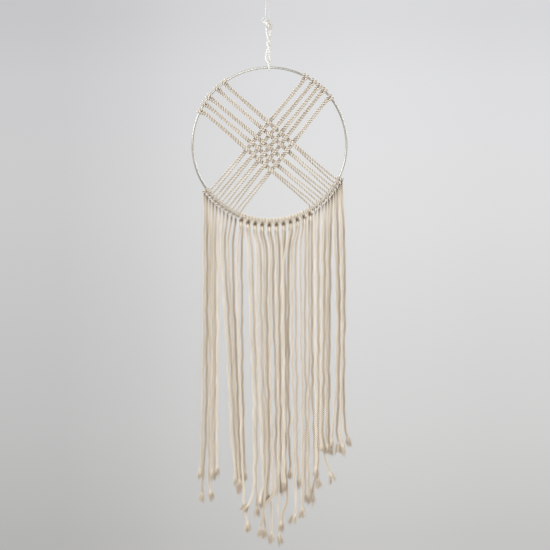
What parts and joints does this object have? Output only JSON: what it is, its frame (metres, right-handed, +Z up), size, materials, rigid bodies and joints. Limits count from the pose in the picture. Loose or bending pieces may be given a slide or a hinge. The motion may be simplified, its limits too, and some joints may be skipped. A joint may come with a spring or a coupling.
{
  "type": "macrame hoop hanging",
  "caption": "Wall or ceiling hanging: a thin metal hoop with doubled cotton cords woven across it and a long knotted cotton fringe, hung by a cotton loop and a thread.",
  "frame": {"origin": "the inner top of the thread loop, where a hook, nail or screw eye holds the hanging", "axes": "+Z up, -Y towards the front, +X to the right as seen from the front"},
  "size_m": [0.3124, 0.0187, 1.0917],
  "materials": {
    "cotton_cord": "soft three-ply twisted cotton, natural off-white",
    "hoop": "smooth pale champagne metal",
    "thread": "thin white cotton thread"
  },
  "bodies": {
    "hanging_point_loop": {"thread_loop": "thread"},
    "thread": {"hanging_thread": "thread"},
    "hanger": {"hanger_cord": "cotton_cord"},
    "hoop_and_web": {"hoop": "hoop", "web_cord_left_1": "cotton_cord", "web_cord_left_2": "cotton_cord", "web_cord_left_3": "cotton_cord", "web_cord_left_4": "cotton_cord", "web_cord_left_5": "cotton_cord", "web_cord_right_1": "cotton_cord", "web_cord_right_2": "cotton_cord", "web_cord_right_3": "cotton_cord", "web_cord_right_4": "cotton_cord", "web_cord_right_5": "cotton_cord"},
    "tail_left_01": {"tail_left_01": "cotton_cord"},
    "tail_left_02": {"tail_left_02": "cotton_cord"},
    "tail_left_03": {"tail_left_03": "cotton_cord"},
    "tail_left_04": {"tail_left_04": "cotton_cord"},
    "tail_left_05": {"tail_left_05": "cotton_cord"},
    "tail_left_06": {"tail_left_06": "cotton_cord"},
    "tail_left_07": {"tail_left_07": "cotton_cord"},
    "tail_left_08": {"tail_left_08": "cotton_cord"},
    "tail_left_09": {"tail_left_09": "cotton_cord"},
    "tail_left_10": {"tail_left_10": "cotton_cord"},
    "fringe_cord_01": {"fringe_cord_01": "cotton_cord"},
    "fringe_cord_02": {"fringe_cord_02": "cotton_cord"},
    "fringe_cord_03": {"fringe_cord_03": "cotton_cord"},
    "fringe_cord_04": {"fringe_cord_04": "cotton_cord"},
    "fringe_cord_05": {"fringe_cord_05": "cotton_cord"},
    "fringe_cord_06": {"fringe_cord_06": "cotton_cord"},
    "fringe_cord_07": {"fringe_cord_07": "cotton_cord"},
    "fringe_cord_08": {"fringe_cord_08": "cotton_cord"},
    "fringe_cord_09": {"fringe_cord_09": "cotton_cord"},
    "fringe_cord_10": {"fringe_cord_10": "cotton_cord"},
    "fringe_cord_11": {"fringe_cord_11": "cotton_cord"},
    "tail_right_01": {"tail_right_01": "cotton_cord"},
    "tail_right_02": {"tail_right_02": "cotton_cord"},
    "tail_right_03": {"tail_right_03": "cotton_cord"},
    "tail_right_04": {"tail_right_04": "cotton_cord"},
    "tail_right_05": {"tail_right_05": "cotton_cord"},
    "tail_right_06": {"tail_right_06": "cotton_cord"},
    "tail_right_07": {"tail_right_07": "cotton_cord"},
    "tail_right_08": {"tail_right_08": "cotton_cord"},
    "tail_right_09": {"tail_right_09": "cotton_cord"},
    "tail_right_10": {"tail_right_10": "cotton_cord"}
  },
  "joints": [
    {"name": "thread_turn", "type": "hinge", "parent": "hanging_point_loop", "child": "thread", "pos_m": [0.0001, 0, -0.01556], "axis": [0, 0, 1], "continuous": true},
    {"name": "hanger_swing", "type": "hinge", "parent": "thread", "child": "hanger", "pos_m": [0.00352, 0, -0.08717], "axis": [0, 1, 0], "range_deg": [-20, 20]},
    {"name": "hoop_tilt", "type": "hinge", "parent": "hanger", "child": "hoop_and_web", "pos_m": [0.00332, 0, -0.16125], "axis": [1, 0, 0], "range_deg": [-25, 25]},
    {"name": "tail_left_01_swing", "type": "hinge", "parent": "hoop_and_web", "child": "tail_left_01", "pos_m": [-0.1253, 0, -0.40363], "axis": [1, 0, 0], "range_deg": [-15, 15]},
    {"name": "tail_left_02_swing", "type": "hinge", "parent": "hoop_and_web", "child": "tail_left_02", "pos_m": [-0.11983, 0, -0.41088], "axis": [1, 0, 0], "range_deg": [-15, 15]},
    {"name": "tail_left_03_swing", "type": "hinge", "parent": "hoop_and_web", "child": "tail_left_03", "pos_m": [-0.11395, 0, -0.41781], "axis": [1, 0, 0], "range_deg": [-15, 15]},
    {"name": "tail_left_04_swing", "type": "hinge", "parent": "hoop_and_web", "child": "tail_left_04", "pos_m": [-0.10769, 0, -0.42439], "axis": [1, 0, 0], "range_deg": [-15, 15]},
    {"name": "tail_left_05_swing", "type": "hinge", "parent": "hoop_and_web", "child": "tail_left_05", "pos_m": [-0.10106, 0, -0.4306], "axis": [1, 0, 0], "range_deg": [-15, 15]},
    {"name": "tail_left_06_swing", "type": "hinge", "parent": "hoop_and_web", "child": "tail_left_06", "pos_m": [-0.09409, 0, -0.43642], "axis": [1, 0, 0], "range_deg": [-15, 15]},
    {"name": "tail_left_07_swing", "type": "hinge", "parent": "hoop_and_web", "child": "tail_left_07", "pos_m": [-0.0868, 0, -0.44184], "axis": [1, 0, 0], "range_deg": [-15, 15]},
    {"name": "tail_left_08_swing", "type": "hinge", "parent": "hoop_and_web", "child": "tail_left_08", "pos_m": [-0.0792, 0, -0.44683], "axis": [1, 0, 0], "range_deg": [-15, 15]},
    {"name": "tail_left_09_swing", "type": "hinge", "parent": "hoop_and_web", "child": "tail_left_09", "pos_m": [-0.07134, 0, -0.45137], "axis": [1, 0, 0], "range_deg": [-15, 15]},
    {"name": "tail_left_10_swing", "type": "hinge", "parent": "hoop_and_web", "child": "tail_left_10", "pos_m": [-0.06323, 0, -0.45546], "axis": [1, 0, 0], "range_deg": [-15, 15]},
    {"name": "fringe_cord_01_swing", "type": "hinge", "parent": "hoop_and_web", "child": "fringe_cord_01", "pos_m": [-0.04762, 0, -0.45308], "axis": [1, 0, 0], "range_deg": [-15, 15]},
    {"name": "fringe_cord_02_swing", "type": "hinge", "parent": "hoop_and_web", "child": "fringe_cord_02", "pos_m": [-0.03503, 0, -0.45707], "axis": [1, 0, 0], "range_deg": [-15, 15]},
    {"name": "fringe_cord_03_swing", "type": "hinge", "parent": "hoop_and_web", "child": "fringe_cord_03", "pos_m": [-0.02213, 0, -0.45994], "axis": [1, 0, 0], "range_deg": [-15, 15]},
    {"name": "fringe_cord_04_swing", "type": "hinge", "parent": "hoop_and_web", "child": "fringe_cord_04", "pos_m": [-0.00904, 0, -0.46168], "axis": [1, 0, 0], "range_deg": [-15, 15]},
    {"name": "fringe_cord_05_swing", "type": "hinge", "parent": "hoop_and_web", "child": "fringe_cord_05", "pos_m": [0.00416, 0, -0.46225], "axis": [1, 0, 0], "range_deg": [-15, 15]},
    {"name": "fringe_cord_06_swing", "type": "hinge", "parent": "hoop_and_web", "child": "fringe_cord_06", "pos_m": [0.01735, 0, -0.46167], "axis": [1, 0, 0], "range_deg": [-15, 15]},
    {"name": "fringe_cord_07_swing", "type": "hinge", "parent": "hoop_and_web", "child": "fringe_cord_07", "pos_m": [0.03045, 0, -0.45993], "axis": [1, 0, 0], "range_deg": [-15, 15]},
    {"name": "fringe_cord_08_swing", "type": "hinge", "parent": "hoop_and_web", "child": "fringe_cord_08", "pos_m": [0.04334, 0, -0.45705], "axis": [1, 0, 0], "range_deg": [-15, 15]},
    {"name": "fringe_cord_09_swing", "type": "hinge", "parent": "hoop_and_web", "child": "fringe_cord_09", "pos_m": [0.05592, 0, -0.45305], "axis": [1, 0, 0], "range_deg": [-15, 15]},
    {"name": "fringe_cord_10_swing", "type": "hinge", "parent": "hoop_and_web", "child": "fringe_cord_10", "pos_m": [0.06811, 0, -0.44796], "axis": [1, 0, 0], "range_deg": [-15, 15]},
    {"name": "fringe_cord_11_swing", "type": "hinge", "parent": "hoop_and_web", "child": "fringe_cord_11", "pos_m": [0.07981, 0, -0.44182], "axis": [1, 0, 0], "range_deg": [-15, 15]},
    {"name": "tail_right_01_swing", "type": "hinge", "parent": "hoop_and_web", "child": "tail_right_01", "pos_m": [0.09587, 0, -0.44123], "axis": [1, 0, 0], "range_deg": [-15, 15]},
    {"name": "tail_right_02_swing", "type": "hinge", "parent": "hoop_and_web", "child": "tail_right_02", "pos_m": [0.10312, 0, -0.43577], "axis": [1, 0, 0], "range_deg": [-15, 15]},
    {"name": "tail_right_03_swing", "type": "hinge", "parent": "hoop_and_web", "child": "tail_right_03", "pos_m": [0.11006, 0, -0.4299], "axis": [1, 0, 0], "range_deg": [-15, 15]},
    {"name": "tail_right_04_swing", "type": "hinge", "parent": "hoop_and_web", "child": "tail_right_04", "pos_m": [0.11664, 0, -0.42364], "axis": [1, 0, 0], "range_deg": [-15, 15]},
    {"name": "tail_right_05_swing", "type": "hinge", "parent": "hoop_and_web", "child": "tail_right_05", "pos_m": [0.12286, 0, -0.41702], "axis": [1, 0, 0], "range_deg": [-15, 15]},
    {"name": "tail_right_06_swing", "type": "hinge", "parent": "hoop_and_web", "child": "tail_right_06", "pos_m": [0.12869, 0, -0.41006], "axis": [1, 0, 0], "range_deg": [-15, 15]},
    {"name": "tail_right_07_swing", "type": "hinge", "parent": "hoop_and_web", "child": "tail_right_07", "pos_m": [0.13411, 0, -0.40276], "axis": [1, 0, 0], "range_deg": [-15, 15]},
    {"name": "tail_right_08_swing", "type": "hinge", "parent": "hoop_and_web", "child": "tail_right_08", "pos_m": [0.13911, 0, -0.39518], "axis": [1, 0, 0], "range_deg": [-15, 15]},
    {"name": "tail_right_09_swing", "type": "hinge", "parent": "hoop_and_web", "child": "tail_right_09", "pos_m": [0.14366, 0, -0.38732], "axis": [1, 0, 0], "range_deg": [-15, 15]},
    {"name": "tail_right_10_swing", "type": "hinge", "parent": "hoop_and_web", "child": "tail_right_10", "pos_m": [0.14775, 0, -0.37921], "axis": [1, 0, 0], "range_deg": [-15, 15]}
  ],
  "couplings": [
    {"joint": "tail_left_01_swing", "follows": "tail_left_04_swing", "ratio": 1},
    {"joint": "tail_left_02_swing", "follows": "tail_left_04_swing", "ratio": 1},
    {"joint": "tail_left_03_swing", "follows": "tail_left_04_swing", "ratio": 1},
    {"joint": "tail_left_05_swing", "follows": "tail_left_04_swing", "ratio": 1},
    {"joint": "tail_left_06_swing", "follows": "tail_left_04_swing", "ratio": 1},
    {"joint": "tail_left_07_swing", "follows": "fringe_cord_03_swing", "ratio": 1},
    {"joint": "tail_left_08_swing", "follows": "fringe_cord_03_swing", "ratio": 1},
    {"joint": "tail_left_09_swing", "follows": "fringe_cord_03_swing", "ratio": 1},
    {"joint": "tail_left_10_swing", "follows": "fringe_cord_03_swing", "ratio": 1},
    {"joint": "fringe_cord_01_swing", "follows": "fringe_cord_03_swing", "ratio": 1},
    {"joint": "fringe_cord_02_swing", "follows": "fringe_cord_03_swing", "ratio": 1},
    {"joint": "fringe_cord_04_swing", "follows": "fringe_cord_03_swing", "ratio": 1},
    {"joint": "fringe_cord_05_swing", "follows": "fringe_cord_03_swing", "ratio": 1},
    {"joint": "fringe_cord_06_swing", "follows": "fringe_cord_03_swing", "ratio": 1},
    {"joint": "fringe_cord_07_swing", "follows": "fringe_cord_03_swing", "ratio": 1},
    {"joint": "fringe_cord_08_swing", "follows": "fringe_cord_03_swing", "ratio": 1},
    {"joint": "fringe_cord_09_swing", "follows": "fringe_cord_03_swing", "ratio": 1},
    {"joint": "fringe_cord_10_swing", "follows": "tail_right_05_swing", "ratio": 1},
    {"joint": "fringe_cord_11_swing", "follows": "tail_right_05_swing", "ratio": 1},
    {"joint": "tail_right_01_swing", "follows": "tail_right_05_swing", "ratio": 1},
    {"joint": "tail_right_02_swing", "follows": "tail_right_05_swing", "ratio": 1},
    {"joint": "tail_right_03_swing", "follows": "tail_right_05_swing", "ratio": 1},
    {"joint": "tail_right_04_swing", "follows": "tail_right_05_swing", "ratio": 1},
    {"joint": "tail_right_06_swing", "follows": "tail_right_05_swing", "ratio": 1},
    {"joint": "tail_right_07_swing", "follows": "tail_right_05_swing", "ratio": 1},
    {"joint": "tail_right_08_swing", "follows": "tail_right_05_swing", "ratio": 1},
    {"joint": "tail_right_09_swing", "follows": "tail_right_05_swing", "ratio": 1},
    {"joint": "tail_right_10_swing", "follows": "tail_right_05_swing", "ratio": 1}
  ]
}
